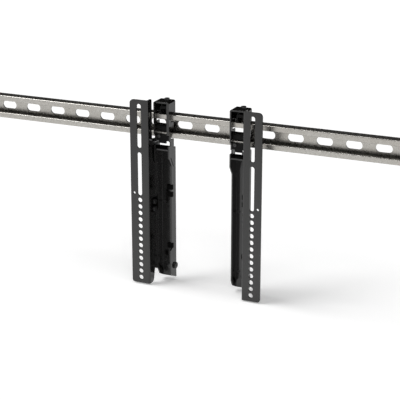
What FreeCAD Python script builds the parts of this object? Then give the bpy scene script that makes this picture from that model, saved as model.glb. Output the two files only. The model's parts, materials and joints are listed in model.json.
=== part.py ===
import FreeCAD, Part
import math
import os
import Sketcher

from FreeCAD import Placement, Rotation, Vector

# Menu board mount: a strut rail on the wall, two hanger channels hooked on it
# and a display bracket that swings on each hanger.
# +Z is up, the wall is the plane Y = 0 and the room is on the -Y side.
# Depths are measured from the wall toward the room, heights from the rail's middle.

os.makedirs("parts", exist_ok=True)
doc = FreeCAD.newDocument("menu_board_mount")

# Sizes in millimetres

SIZES = (
    ("slot_pitch", 50.8, "wall slots, centre to centre"),
    ("slot_count", 18, "wall slots in the rail"),
    ("slot_length", 28.6, "wall slot, end to end"),
    ("slot_width", 14.3, "wall slot, across"),
    ("rail_height", 41.3, "strut rail, outside"),
    ("rail_depth", 20.6, "strut rail, outside"),
    ("rail_gauge", 2.6, "strut rail, steel thickness"),
    ("rail_lip_face", 9.5, "front face beside the rail's mouth"),
    ("rail_lip", 7.1, "depth of each lip behind the front"),
    ("rail_bend", 3.8, "outside radius of the rail's bends"),
    ("left_centre", -58.4, "left hanger's middle along the rail"),
    ("right_centre", 84.1, "right hanger's middle along the rail"),
    ("plate", 2.5, "thickness of every folded sheet"),
    ("bend", 3.0, "outside radius of the folds"),
    ("inner_bend", 0.5, "inside radius of the folds"),
    ("travel", 3.0, "height adjustment"),
    ("body_gap", 0.3, "clearance between pieces that move on each other"),
    ("cut_beyond", 1.0, "how far a cut runs past the sheet"),
    ("running_fit", 0.08, "radial clearance of a pin or thread that turns"),
    ("seat_fit", 0.1, "radial clearance of a fixed shank in its hole"),
    ("channel_width", 29.4, "hook channel, outside"),
    ("channel_wall_gap", 0.5, "hook channel's back to the wall"),
    ("channel_long", 244.2, "trough below its shelf"),
    ("hood_wall_gap", 0.5, "hood's back to the wall"),
    ("hood_lift", 0.85, "hood's lower edge above the rail"),
    ("hood_tall", 22.1, "height of the hood"),
    ("strip_gap", 0.7, "side strips to the rail's front"),
    ("strip_width", 8.1, "side strips, front to back"),
    ("tab_reach", 11.0, "tabs and neck behind the rail's front"),
    ("tab_clear", 1.15, "tabs to the upper lip at full lift"),
    ("tab_low_clear", 2.15, "tabs above the lower lip"),
    ("neck_gap", 0.55, "neck to the rail's underside at full lift"),
    ("notch_drop", 3.3, "neck's top to the notch's roof"),
    ("notch_play", 0.7, "notch's height beyond the stud"),
    ("notch_offset", 1.0, "notch's end in front of the rail"),
    ("lip_offset", 4.2, "strip's front above the notch, in front of the rail"),
    ("narrow_rise", 9.5, "straight stretch of the strip above the notch"),
    ("narrow_tall", 3.4, "slope above that stretch"),
    ("head_offset", 8.4, "head in front of the rail"),
    ("head_tall", 22.8, "head below the notch before it narrows"),
    ("taper_tall", 15.0, "height of the narrowing"),
    ("shelf_drop", 6.1, "notch's floor to the shelf"),
    ("edge_setback", 1.2, "channel's front edges behind the rail's front"),
    ("foot_deeper", 5.2, "foot in front of the channel's edges"),
    ("foot_tall", 56.5, "height of the foot"),
    ("foot_slope", 3.6, "height of the step above the foot"),
    ("foot_round", 4.0, "radius of the foot's lower corners"),
    ("foot_slant", 12.0, "rise of the walls' lower edges from the web to the foot"),
    ("corner_tall", 16.5, "height of the left wall's cut corner"),
    ("corner_deep", 7.0, "left wall's cut corner, front to back"),
    ("corner_low", 4.0, "left wall's cut corner ends above the channel's lower end"),
    ("rim_return", 2.0, "right strip's front edge, turned inwards"),
    ("slit_behind", 5.1, "slit's upper end behind the head's front"),
    ("slit_drop", 15.7, "slit's upper end below the shelf"),
    ("slit_run", 10.7, "slit, front to back"),
    ("slit_tall", 18.0, "slit, height"),
    ("slit_wide", 2.1, "slit, across"),
    ("screw_offset", 4.0, "height screw beside the hanger's middle"),
    ("screw_setback", 7.0, "height screw behind the rail's front"),
    ("screw_radius", 3.0, "height screw's thread, M6"),
    ("screw_head", 4.6, "height screw's head, radius"),
    ("screw_head_tall", 4.0, "height screw's head, height"),
    ("screw_socket", 4.0, "hexagon socket, across flats"),
    ("screw_clear", 1.95, "height screw's tip above the rail"),
    ("collar_radius", 4.4, "collar that keeps the height screw in the hood"),
    ("collar_tall", 1.4, "collar's height"),
    ("sight_radius", 1.6, "two small holes in the hood's top"),
    ("sight_one", -5.0, "first small hole, beside the middle"),
    ("sight_one_setback", 1.0, "first small hole behind the rail's front"),
    ("sight_two", -9.2, "second small hole, beside the middle"),
    ("sight_two_offset", 1.2, "second small hole in front of the rail's front"),
    ("saddle_width", 14.1, "saddle, across its legs"),
    ("saddle_middle", 3.2, "saddle's middle beside the hanger's middle"),
    ("saddle_tall", 15.05, "saddle's height"),
    ("saddle_setback", 3.2, "saddle behind the hood's rim"),
    ("saddle_room", 1.1, "saddle in front of the hood's back"),
    ("hook_offset", 2.0, "lip hook in front of the rail"),
    ("hook_behind", 3.0, "lip hook behind the tabs"),
    ("hook_below", 5.6, "lip hook's top below the tabs' top"),
    ("toe_clear", 0.9, "toe behind the rail's lip"),
    ("toe_floor", 1.05, "toe above the rail's lower wall"),
    ("hook_round", 3.0, "radius on the lip hook's upper edges"),
    ("jaw_offset", 4.0, "jaw in front of the rail"),
    ("jaw_clear", 0.1, "jaw's lower leg below the neck's top"),
    ("jaw_tall", 11.8, "jaw's upright leg"),
    ("jaw_deep", 13.0, "jaw's lower leg"),
    ("jaw_lip", 3.8, "lip below the jaw's lower leg"),
    ("jaw_lip_half", 6.9, "half the lip's width, between the studs' ends"),
    ("clamp_offset", -6.4, "clamp screw beside the hanger's middle"),
    ("clamp_drop", 3.0, "clamp screw below the jaw's top"),
    ("clamp_radius", 2.0, "clamp screw's thread, M4"),
    ("clamp_head", 3.2, "clamp screw's head, radius"),
    ("clamp_head_long", 2.2, "clamp screw's head, length"),
    ("clamp_socket", 2.5, "clamp screw's socket, across flats"),
    ("bolt_depth", 8.7, "side bolt's distance from the wall"),
    ("bolt_rise", 24.2, "side bolt above the channel's lower end"),
    ("bolt_radius", 3.0, "side bolt's shank, M6"),
    ("bolt_head", 5.8, "side bolt's head, radius"),
    ("bolt_head_long", 3.6, "side bolt's head, length"),
    ("nut_across", 10.0, "side nut, across flats"),
    ("nut_tall", 4.0, "side nut, height"),
    ("lever_offset", 3.0, "lever's pivot beside the hanger's middle"),
    ("lever_rise", 20.5, "lever's pivot above the channel's lower end"),
    ("lever_width", 8.0, "latch lever, across"),
    ("lever_reach", 14.4, "latch lever, pivot to the middle of its tip"),
    ("rivet_radius", 2.5, "lever rivet's shank, radius"),
    ("rivet_collar", 3.4, "lever rivet's shoulder, radius"),
    ("rivet_collar_long", 0.4, "lever rivet's shoulder, length"),
    ("rivet_head", 4.0, "lever rivet's head, radius"),
    ("rivet_head_long", 2.0, "lever rivet's head, length"),
    ("bumper_tall", 9.0, "rubber bumper, height"),
    ("bumper_outer", 1.2, "rubber bumper, leg outside the wall"),
    ("bumper_outer_long", 4.0, "rubber bumper, cover of the outer leg"),
    ("bumper_nose", 1.5, "rubber bumper in front of the wall's edge"),
    ("bumper_inner", 7.0, "rubber bumper, leg inside the wall"),
    ("bumper_inner_long", 5.0, "rubber bumper, cover of the inner leg"),
    ("bumper_round", 0.8, "rounding of the bumper's edges"),
    ("bumper_drop", 70.4, "upper bumper below the shelf"),
    ("bumper_step", 13.2, "middle bumper below the upper one"),
    ("bumper_foot", 0.5, "lower bumper above the foot's step"),
    ("upper_plug_offset", -7.4, "upper plug beside the middle"),
    ("upper_plug_drop", 103.7, "upper plug below the shelf"),
    ("upper_plug_long", 7.0, "upper plug, end to end"),
    ("upper_plug_wide", 3.4, "upper plug, across"),
    ("lower_plug_offset", -6.6, "lower plug beside the middle"),
    ("lower_plug_rise", 29.6, "lower plug above the channel's lower end"),
    ("lower_plug_wide", 5.0, "lower plug's head, diameter"),
    ("plug_head", 0.9, "plug head's thickness"),
    ("plug_rim", 0.6, "plug head beyond its stem"),
    ("stud_offset", 4.0, "hanger stud in front of the notch's end"),
    ("stud_seat", 0.1, "hanger stud above the notch's floor"),
    ("stud_radius", 3.0, "hanger stud, radius"),
    ("stud_long", 9.2, "hanger stud, from the flange"),
    ("stud_collar", 4.4, "hanger stud's collar, radius"),
    ("stud_collar_long", 1.0, "hanger stud's collar, length"),
    ("side_gap", 2.0, "hook channel to the display bracket's flange"),
    ("display_width", 34.7, "display bracket, across its face"),
    ("display_offset", 21.5, "display bracket's face in front of the stud"),
    ("display_rise", 79.2, "display bracket above the stud"),
    ("display_beyond", 3.6, "display bracket below the channel's lower end"),
    ("display_top_round", 7.0, "outer upper corner"),
    ("display_low_round", 5.0, "outer lower corner"),
    ("ear_offset", 6.0, "flange's upper edge in front of the stud"),
    ("ear_drop", 9.1, "flange begins to deepen above the stud"),
    ("deep_rise", 6.0, "flange is deep from here above the stud"),
    ("deep_behind", 12.0, "deep flange behind the stud"),
    ("heel_rise", 16.1, "deep flange ends above the bracket's lower end"),
    ("heel_slope", 10.0, "heel above the deep flange's lower end"),
    ("heel_offset", 0.2, "deep flange's heel behind the stud"),
    ("toe_rise", 8.5, "flange's toe above the bracket's lower end"),
    ("toe_deep", 17.9, "flange's toe behind the face"),
    ("toe_round", 8.0, "rounding of the toe's lower corner"),
    ("flange_round", 3.0, "rounding of the flange's corners"),
    ("column", 17.4, "hole column, from the fold"),
    ("screen_slot_wide", 8.2, "screen slot, across"),
    ("screen_slot_edge", 7.1, "upper screen slot below the bracket's top"),
    ("screen_slot_gap", 7.8, "between the screen slots"),
    ("screen_slot_low", 8.3, "lower screen slot above the highest screen hole"),
    ("screen_hole", 4.2, "screen hole, radius"),
    ("screen_hole_pitch", 12.1, "screen holes, centre to centre"),
    ("screen_hole_count", 13, "screen holes in the column"),
    ("screen_hole_edge", 10.6, "lowest screen hole above the bracket's lower end"),
    ("side_hole", 2.2, "single small hole, radius"),
    ("side_hole_across", 28.2, "single small hole, from the fold"),
    ("side_hole_rise", 12.2, "single small hole above the highest screen hole"),
    ("stop_rise", 41.5, "stop tab's upper edge above the channel's lower end"),
    ("stop_tall", 10.0, "stop tab, height"),
    ("stop_long", 8.0, "stop tab, from the flange"),
    ("stop_round", 2.0, "stop tab's free corners"),
    ("pad_drop", 99.9, "pad's upper edge below the stud"),
    ("pad_tall", 25.0, "pad's height"),
    ("pad_offset", 10.4, "pad's front edge in front of the stud"),
    ("pad_deep", 18.5, "pad, front to back"),
    ("pad_clear", 0.5, "pad to the hook channel"),
    ("pad_round", 1.5, "rounding of the pad's corners"),
    ("pad_screw_edge", 5.4, "pad screws behind the pad's front edge"),
    ("pad_screw_drop", 6.0, "upper pad screw below the pad's upper edge"),
    ("pad_screw_step", 13.0, "between the pad screws"),
    ("pad_screw_radius", 2.5, "pad screw's shank, M5"),
    ("pad_screw_head", 4.5, "pad screw's head, radius"),
    ("pad_screw_head_long", 4.0, "pad screw's head, length"),
    ("pad_screw_socket", 3.0, "pad screw's socket, across flats"),
    ("socket_deep", 1.6, "depth of the sockets"),
    ("head_edge", 0.5, "rounding of screw heads"),
)

sheet = doc.addObject("Spreadsheet::Sheet", "dims")
for row, (word, number, meaning) in enumerate(SIZES, start=1):
    sheet.set(f"A{row}", word)
    sheet.set(f"B{row}", str(number))
    sheet.set(f"C{row}", meaning)
    sheet.setAlias(f"B{row}", word)
doc.recompute()


# Numbers that keep their formula

class Size:
    """A length with the sheet formula it is worked out by."""

    def __init__(self, value, text):
        self.value = value
        self.text = text

    def __add__(self, other):
        other = as_size(other)
        return Size(self.value + other.value, f"({self.text} + {other.text})")

    def __sub__(self, other):
        other = as_size(other)
        return Size(self.value - other.value, f"({self.text} - {other.text})")

    def __mul__(self, other):
        other = as_size(other)
        return Size(self.value * other.value, f"({self.text} * {other.text})")

    def __truediv__(self, other):
        other = as_size(other)
        return Size(self.value / other.value, f"({self.text} / {other.text})")

    def __neg__(self):
        return as_size(0) - self

    __rmul__ = __mul__
    __radd__ = __add__


def as_size(number):
    if isinstance(number, Size):
        return number
    return Size(float(number), f"({float(number)!r})")


class Names:
    """Every alias of the sheet as an attribute."""


d = Names()
for word, number, meaning in SIZES:
    setattr(d, word, Size(float(number), f"dims.{word}"))

ZERO = as_size(0)

# Rail: its length follows from the slots

rail_length = d.slot_pitch * d.slot_count
rail_top = d.rail_height / 2
half_mouth = rail_top - d.rail_lip_face

# Hanger: depths from the wall and heights, worked out from the rail

half_channel = d.channel_width / 2
inside = half_channel - d.plate
through_sheet = d.plate + d.cut_beyond
web_front = d.channel_wall_gap + d.plate
strip_back = d.rail_depth + d.strip_gap
hood_front = strip_back + d.strip_width
hood_bottom = rail_top + d.hood_lift
hood_top = hood_bottom + d.hood_tall
tab_depth = d.rail_depth - d.tab_reach
tab_top = half_mouth - d.travel - d.tab_clear
tab_bottom = -(half_mouth - d.tab_low_clear)
neck_top = -(rail_top + d.travel + d.neck_gap)
notch_roof = neck_top - d.notch_drop
notch_floor = notch_roof - 2 * d.stud_radius - d.notch_play
notch_end = d.rail_depth + d.notch_offset
lip_front = d.rail_depth + d.lip_offset
narrow_end = notch_roof + d.narrow_rise
narrow_start = narrow_end + d.narrow_tall
head_front = d.rail_depth + d.head_offset
taper_start = notch_floor - d.head_tall
taper_end = taper_start - d.taper_tall
shelf_top = notch_floor - d.shelf_drop
channel_bottom = shelf_top - d.channel_long
edge_front = d.rail_depth - d.edge_setback
foot_front = edge_front + d.foot_deeper
foot_top = channel_bottom + d.foot_tall
screw_depth = d.rail_depth - d.screw_setback
jaw_front = d.rail_depth + d.jaw_offset
jaw_bottom = neck_top - d.jaw_clear - d.plate
jaw_top = jaw_bottom + d.jaw_tall
bolt_height = channel_bottom + d.bolt_rise
lever_back = web_front + d.rivet_collar_long + d.body_gap
lever_height = channel_bottom + d.lever_rise
upper_bumper_height = shelf_top - d.bumper_drop
middle_bumper_height = upper_bumper_height - d.bumper_step
lower_bumper_height = foot_top + d.foot_slope + d.bumper_foot + d.bumper_tall / 2
upper_plug_height = shelf_top - d.upper_plug_drop
lower_plug_height = channel_bottom + d.lower_plug_rise

# Display bracket: worked out from the stud that hangs it in the notch

stud_depth = notch_end + d.stud_offset
stud_height = notch_floor + d.stud_seat + d.stud_radius
fold = half_channel + d.side_gap
display_front = stud_depth + d.display_offset
display_back = display_front - d.plate
display_top = stud_height + d.display_rise
display_bottom = channel_bottom - d.display_beyond
ear_back = stud_depth + d.ear_offset
deep_back = stud_depth - d.deep_behind
deep_top = stud_height + d.deep_rise
deep_bottom = display_bottom + d.heel_rise
heel_back = stud_depth - d.heel_offset
heel_top = deep_bottom + d.heel_slope
toe_back = display_front - d.toe_deep
toe_top = display_bottom + d.toe_rise
hole_span = d.screen_hole_pitch * (d.screen_hole_count - 1)
highest_hole = display_bottom + d.screen_hole_edge + hole_span
slots_top = display_top - d.screen_slot_edge
slots_bottom = highest_hole + d.screen_slot_low
screen_slot_long = (slots_top - slots_bottom - d.screen_slot_gap) / 2
upper_slot = slots_top - screen_slot_long / 2
lower_slot = slots_bottom + screen_slot_long / 2
side_hole_height = highest_hole + d.side_hole_rise
stop_top = channel_bottom + d.stop_rise
stop_bottom = stop_top - d.stop_tall
pad_thick = d.side_gap - d.pad_clear
pad_front = stud_depth + d.pad_offset
pad_back = pad_front - d.pad_deep
pad_top = stud_height - d.pad_drop
pad_bottom = pad_top - d.pad_tall
pad_screw_depth = pad_front - d.pad_screw_edge
pad_screw_high = pad_top - d.pad_screw_drop
pad_screw_low = pad_screw_high - d.pad_screw_step

# Turns of the pieces that don't stand upright, in degrees, and how near an edge lies to a line

ALONG_X = Rotation(Vector(0, 1, 0), 90)
AGAINST_X = Rotation(Vector(0, 1, 0), -90)
TO_ROOM = Rotation(Vector(1, 0, 0), 90)
LEVER_TURN = Rotation(Vector(0, 1, 0), 45)
NEAR = 0.01

# Helpers for bodies, sketches and features


def bind(thing, name, size):
    thing.setExpression(name, as_size(size).text)


def new_body(label, x=ZERO, depth=ZERO, z=ZERO, turn=None):
    body = doc.addObject("PartDesign::Body", label)
    body.Label = label
    if turn is not None:
        body.Placement = Placement(Vector(0, 0, 0), turn)
    for axis, size in (("x", x), ("y", -depth), ("z", z)):
        bind(body, f"Placement.Base.{axis}", size)
    return body


def new_sketch(body, plane, offset=ZERO):
    sketch = body.newObject("Sketcher::SketchObject", f"{body.Label}_sketch")
    support = [part for part in body.Origin.OriginFeatures if part.Role == plane]
    sketch.AttachmentSupport = (support[0], [""])
    sketch.MapMode = "FlatFace"
    bind(sketch, "AttachmentOffset.Base.z", offset)
    return sketch


def hold(sketch, kind, size, *where):
    number = sketch.addConstraint(Sketcher.Constraint(kind, *where, size.value))
    sketch.setExpression(f"Constraints[{number}]", size.text)


def pin(sketch, curve, point, place):
    for kind, size in zip(("DistanceX", "DistanceY"), place):
        hold(sketch, kind, as_size(size), -1, 1, curve, point)


def outline(sketch, corners):
    """A closed outline through named corners, each tied to the sheet."""
    corners = [(as_size(a), as_size(b)) for a, b in corners]
    points = [Vector(a.value, b.value, 0) for a, b in corners]
    first = sketch.GeometryCount
    count = len(corners)
    for index in range(count):
        sketch.addGeometry(Part.LineSegment(points[index], points[(index + 1) % count]))
    for index, corner in enumerate(corners):
        following = first + (index + 1) % count
        sketch.addConstraint(Sketcher.Constraint("Coincident", first + index, 2, following, 1))
        pin(sketch, first + index, 1, corner)


def side_outline(sketch, corners):
    """An outline in the side view, its corners given as depth and height."""
    outline(sketch, [(-depth, height) for depth, height in corners])


def box_corners(left, right, low, high):
    return [(left, low), (right, low), (right, high), (left, high)]


def circle(sketch, x, y, radius):
    x, y, radius = as_size(x), as_size(y), as_size(radius)
    middle = Vector(x.value, y.value, 0)
    curve = sketch.addGeometry(Part.Circle(middle, Vector(0, 0, 1), radius.value))
    pin(sketch, curve, 3, (x, y))
    hold(sketch, "Radius", radius, curve)


def obround(sketch, x, y, length, width, upright=False):
    """A slot with round ends; its long way is upright or level."""
    reach = (length - width) / 2
    radius = width / 2
    x, y = as_size(x), as_size(y)
    ends = ((x, y + reach), (x, y - reach)) if upright else ((x + reach, y), (x - reach, y))
    turn = 0 if upright else -math.pi / 2
    first = sketch.GeometryCount
    for index, (a, b) in enumerate(ends):
        ring = Part.Circle(Vector(a.value, b.value, 0), Vector(0, 0, 1), radius.value)
        start = turn + index * math.pi
        sketch.addGeometry(Part.ArcOfCircle(ring, start, start + math.pi))
    arcs = [sketch.Geometry[first], sketch.Geometry[first + 1]]
    sketch.addGeometry(Part.LineSegment(arcs[0].EndPoint, arcs[1].StartPoint))
    sketch.addGeometry(Part.LineSegment(arcs[1].EndPoint, arcs[0].StartPoint))
    for arc, line, after in ((first, first + 2, first + 1), (first + 1, first + 3, first)):
        sketch.addConstraint(Sketcher.Constraint("Tangent", arc, 2, line, 1))
        sketch.addConstraint(Sketcher.Constraint("Tangent", line, 2, after, 1))
    sketch.addConstraint(Sketcher.Constraint("Equal", first, first + 1))
    pin(sketch, first, 3, ends[0])
    pin(sketch, first + 1, 3, ends[1])
    hold(sketch, "Radius", radius, first)


def hexagon(sketch, x, y, across):
    """A regular hexagon with two flats level, given across its flats."""
    corner = across / math.sqrt(3)
    flat = across / 2
    half = corner / 2
    steps = ((corner, ZERO), (half, flat), (-half, flat), (-corner, ZERO), (-half, -flat), (half, -flat))
    outline(sketch, [(x + a, y + b) for a, b in steps])


def add(body, kind, sketch, length, both=False, reverse=False):
    feature = body.newObject(f"PartDesign::{kind}", f"{body.Label}_{kind.lower()}")
    feature.Profile = sketch
    feature.Type = "Length"
    feature.SideType = "Symmetric" if both else "One side"
    feature.Reversed = reverse
    bind(feature, "Length", length)
    body.Tip = feature
    sketch.Visibility = False
    return feature


def pad(body, sketch, length, both=False, reverse=False):
    return add(body, "Pad", sketch, length, both, reverse)


def pocket(body, sketch, length, both=False, reverse=False):
    return add(body, "Pocket", sketch, length, both, reverse)


def repeat(body, feature, sketch, axis, pitch, count, reverse=False):
    pattern = body.newObject("PartDesign::LinearPattern", f"{body.Label}_pattern")
    pattern.Originals = [feature]
    pattern.Direction = (sketch, [axis])
    pattern.Reversed = reverse
    bind(pattern, "Length", pitch * (count - 1))
    bind(pattern, "Occurrences", count)
    body.Tip = pattern
    return pattern


def revolve(body, profile):
    """A turned piece about its own Z, from radius and height pairs."""
    sketch = new_sketch(body, "XZ_Plane")
    outline(sketch, profile)
    feature = body.newObject("PartDesign::Revolution", f"{body.Label}_revolution")
    feature.Profile = sketch
    feature.ReferenceAxis = (sketch, ["V_Axis"])
    feature.Angle = 360
    body.Tip = feature
    sketch.Visibility = False
    return feature


def smooth(body, radius, *lines):
    """Rounds the edges that lie on any of the given lines or planes."""
    doc.recompute()
    base = body.Tip
    names = []
    for number, edge in enumerate(base.Shape.Edges, start=1):
        if any(lies_on(edge, line) for line in lines):
            names.append(f"Edge{number}")
    if not names:
        raise ValueError(f"{body.Label}: no edge to round")
    feature = body.newObject("PartDesign::Fillet", f"{body.Label}_fillet")
    feature.Base = (base, names)
    bind(feature, "Radius", radius)
    body.Tip = feature
    return feature


def lies_on(edge, line):
    box = edge.BoundBox
    spans = {"x": (box.XMin, box.XMax), "y": (box.YMin, box.YMax), "z": (box.ZMin, box.ZMax)}
    for axis, wanted in line.items():
        low, high = spans[axis]
        value = as_size(wanted).value
        if abs(low - value) > NEAR or abs(high - value) > NEAR:
            return False
    return True


# Strut rail


def strut_rail():
    body = new_body("strut_rail")
    high = rail_top
    mouth = half_mouth
    gauge = d.rail_gauge
    upper = [
        (d.rail_depth - d.rail_lip, mouth),
        (d.rail_depth, mouth),
        (d.rail_depth, high),
        (ZERO, high),
    ]
    inner = [
        (gauge, high - gauge),
        (d.rail_depth - gauge, high - gauge),
        (d.rail_depth - gauge, mouth + gauge),
        (d.rail_depth - d.rail_lip, mouth + gauge),
    ]
    section = new_sketch(body, "YZ_Plane")
    lower = [(depth, -height) for depth, height in reversed(upper)]
    lower_inner = [(depth, -height) for depth, height in reversed(inner)]
    side_outline(section, upper + lower + lower_inner + inner)
    pad(body, section, rail_length, both=True)
    slot = new_sketch(body, "XZ_Plane")
    first_slot = -d.slot_pitch * (d.slot_count - 1) / 2
    obround(slot, first_slot, ZERO, d.slot_length, d.slot_width)
    cut = pocket(body, slot, 2 * (gauge + d.cut_beyond), both=True)
    repeat(body, cut, slot, "H_Axis", d.slot_pitch, d.slot_count)
    outer = [{"y": -depth, "z": side * high} for depth in (ZERO, d.rail_depth) for side in (1, -1)]
    outer += [{"y": -d.rail_depth, "z": side * mouth} for side in (1, -1)]
    deep = [{"y": -gauge, "z": side * (high - gauge)} for side in (1, -1)]
    deep += [{"y": gauge - d.rail_depth, "z": side * (high - gauge)} for side in (1, -1)]
    deep += [{"y": gauge - d.rail_depth, "z": side * (mouth + gauge)} for side in (1, -1)]
    smooth(body, d.rail_bend, *outer)
    smooth(body, d.rail_bend - gauge, *deep)
    return body


# Hook channel, folded from one sheet


def hook_channel(name, centre):
    body = new_body(name, x=centre)
    hook = [
        (hood_front, hood_top),
        (d.hood_wall_gap, hood_top),
        (d.hood_wall_gap, hood_bottom),
        (strip_back, hood_bottom),
        (strip_back, neck_top),
        (tab_depth, neck_top),
        (tab_depth, shelf_top),
    ]
    channel = [
        (d.channel_wall_gap, shelf_top),
        (d.channel_wall_gap, channel_bottom),
        (web_front, channel_bottom),
        (foot_front, channel_bottom + d.foot_slant),
        (foot_front, foot_top),
        (edge_front, foot_top + d.foot_slope),
        (edge_front, taper_end),
        (head_front, taper_start),
    ]
    notch = [
        (head_front, notch_floor),
        (notch_end, notch_floor),
        (notch_end, notch_roof),
        (lip_front, notch_roof),
        (lip_front, narrow_end),
        (hood_front, narrow_start),
    ]
    blank = new_sketch(body, "YZ_Plane")
    side_outline(blank, hook + channel + notch)
    pad(body, blank, d.channel_width, both=True)

    tab = new_sketch(body, "YZ_Plane")
    side_outline(tab, box_corners(tab_depth, strip_back + d.plate, tab_bottom, tab_top))
    pad(body, tab, d.channel_width, both=True)

    beyond = head_front + d.plate
    hood = new_sketch(body, "YZ_Plane")
    hood_box = box_corners(d.hood_wall_gap + d.plate, beyond, shelf_top, hood_top - d.plate)
    side_outline(hood, hood_box)
    pocket(body, hood, inside * 2, both=True)

    trough = new_sketch(body, "YZ_Plane")
    trough_box = box_corners(web_front, beyond, channel_bottom - d.plate, shelf_top - d.plate)
    side_outline(trough, trough_box)
    pocket(body, trough, inside * 2, both=True)

    back = -d.channel_wall_gap
    sides = (1, -1)
    smooth(
        body,
        d.bend,
        *[{"x": side * half_channel, "y": back} for side in sides],
        *[{"x": side * half_channel, "y": -d.hood_wall_gap} for side in sides],
        *[{"x": side * half_channel, "z": hood_top} for side in sides],
        {"y": -d.hood_wall_gap, "z": hood_top},
        {"y": back, "z": shelf_top},
    )
    smooth(body, d.inner_bend, *[{"x": side * inside, "y": -web_front} for side in sides])
    smooth(body, d.foot_round, {"y": -foot_front, "z": channel_bottom + d.foot_slant})

    above_foot = foot_top + d.foot_slope
    left_foot = new_sketch(body, "YZ_Plane", -inside)
    side_outline(left_foot, [
        (edge_front, above_foot),
        (beyond, above_foot),
        (beyond, channel_bottom),
        (edge_front - d.corner_deep, channel_bottom),
        (edge_front - d.corner_deep, channel_bottom + d.corner_low),
        (edge_front, channel_bottom + d.corner_tall),
    ])
    pocket(body, left_foot, through_sheet)

    rim = new_sketch(body, "XZ_Plane", hood_front - d.plate)
    outline(rim, box_corners(inside - d.rim_return, half_channel, narrow_start, hood_top - d.plate))
    pad(body, rim, d.plate)

    slit = new_sketch(body, "YZ_Plane", half_channel)
    slit_front = head_front - d.slit_behind
    slit_top = shelf_top - d.slit_drop
    side_outline(slit, [
        (slit_front, slit_top),
        (slit_front - d.slit_wide, slit_top),
        (slit_front - d.slit_run - d.slit_wide, slit_top - d.slit_tall),
        (slit_front - d.slit_run, slit_top - d.slit_tall),
    ])
    pocket(body, slit, through_sheet)

    top_holes = new_sketch(body, "XY_Plane", hood_top)
    circle(top_holes, d.screw_offset, -screw_depth, d.screw_radius + d.running_fit)
    circle(top_holes, d.sight_one, d.sight_one_setback - d.rail_depth, d.sight_radius)
    circle(top_holes, d.sight_two, -(d.rail_depth + d.sight_two_offset), d.sight_radius)
    pocket(body, top_holes, through_sheet)

    wall_hole = new_sketch(body, "YZ_Plane", half_channel)
    circle(wall_hole, -d.bolt_depth, bolt_height, d.bolt_radius + d.seat_fit)
    pocket(body, wall_hole, through_sheet)

    web_holes = new_sketch(body, "XZ_Plane", web_front)
    circle(web_holes, d.lever_offset, lever_height, d.rivet_radius + d.seat_fit)
    circle(
        web_holes,
        d.lower_plug_offset,
        lower_plug_height,
        d.lower_plug_wide / 2 - d.plug_rim + d.seat_fit,
    )
    obround(
        web_holes,
        d.upper_plug_offset,
        upper_plug_height,
        d.upper_plug_long - 2 * d.plug_rim + 2 * d.seat_fit,
        d.upper_plug_wide - 2 * d.plug_rim + 2 * d.seat_fit,
    )
    pocket(body, web_holes, through_sheet)
    return body


# Pieces in the hanger's head


def saddle_block(name, centre):
    body = new_body(name, x=centre)
    half = d.saddle_width / 2
    bottom = rail_top + d.body_gap
    saddle_top = bottom + d.saddle_tall
    saddle_front = hood_front - d.saddle_setback
    saddle_back = d.hood_wall_gap + d.plate + d.saddle_room
    front = new_sketch(body, "XZ_Plane", saddle_back)
    outside = box_corners(d.saddle_middle - half, d.saddle_middle + half, bottom, saddle_top)
    outline(front, outside)
    pad(body, front, saddle_front - saddle_back)
    hollow = new_sketch(body, "XZ_Plane", saddle_back)
    room = half - d.plate
    low = bottom - d.plate
    high = saddle_top - 2 * d.plate
    outline(hollow, box_corners(d.saddle_middle - room, d.saddle_middle + room, low, high))
    pocket(body, hollow, saddle_front * 2, both=True)
    corners = [{"x": d.saddle_middle + side * half, "z": saddle_top} for side in (1, -1)]
    smooth(body, d.bend, *corners)
    thread = new_sketch(body, "XY_Plane", saddle_top)
    circle(thread, d.screw_offset, -screw_depth, d.screw_radius + d.running_fit)
    pocket(body, thread, 2 * d.plate + d.cut_beyond)
    return body


def height_screw(name, centre):
    body = new_body(name, x=centre + d.screw_offset, depth=screw_depth, z=hood_top)
    gap = d.body_gap
    top = gap + d.screw_head_tall
    under = -(d.plate + gap)
    tip = rail_top + d.screw_clear - hood_top
    revolve(body, [
        (ZERO, top),
        (d.screw_head, top),
        (d.screw_head, gap),
        (d.screw_radius, gap),
        (d.screw_radius, under),
        (d.collar_radius, under),
        (d.collar_radius, under - d.collar_tall),
        (d.screw_radius, under - d.collar_tall),
        (d.screw_radius, tip),
        (ZERO, tip),
    ])
    socket = new_sketch(body, "XY_Plane", top)
    hexagon(socket, ZERO, ZERO, d.screw_socket)
    pocket(body, socket, d.socket_deep)
    smooth(body, d.head_edge, {"z": top})
    return body


def lip_hook(name, centre):
    body = new_body(name, x=centre)
    hook_front = d.rail_depth + d.hook_offset
    hook_back = tab_depth - d.hook_behind
    hook_top = tab_top - d.hook_below
    toe_front = d.rail_depth - d.rail_lip - d.toe_clear
    toe_end = -(rail_top - d.rail_gauge - d.toe_floor)
    section = new_sketch(body, "YZ_Plane")
    side_outline(section, [
        (hook_front, hook_top),
        (hook_back, hook_top),
        (hook_back, toe_end),
        (toe_front, toe_end),
        (toe_front, tab_bottom),
        (hook_front, tab_bottom),
    ])
    pad(body, section, inside * 2, both=True)
    rounded = [{"y": -depth, "z": hook_top} for depth in (hook_front, hook_back)]
    rounded += [{"y": -hook_back, "z": toe_end}]
    smooth(body, d.hook_round, *rounded)
    return body


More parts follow.
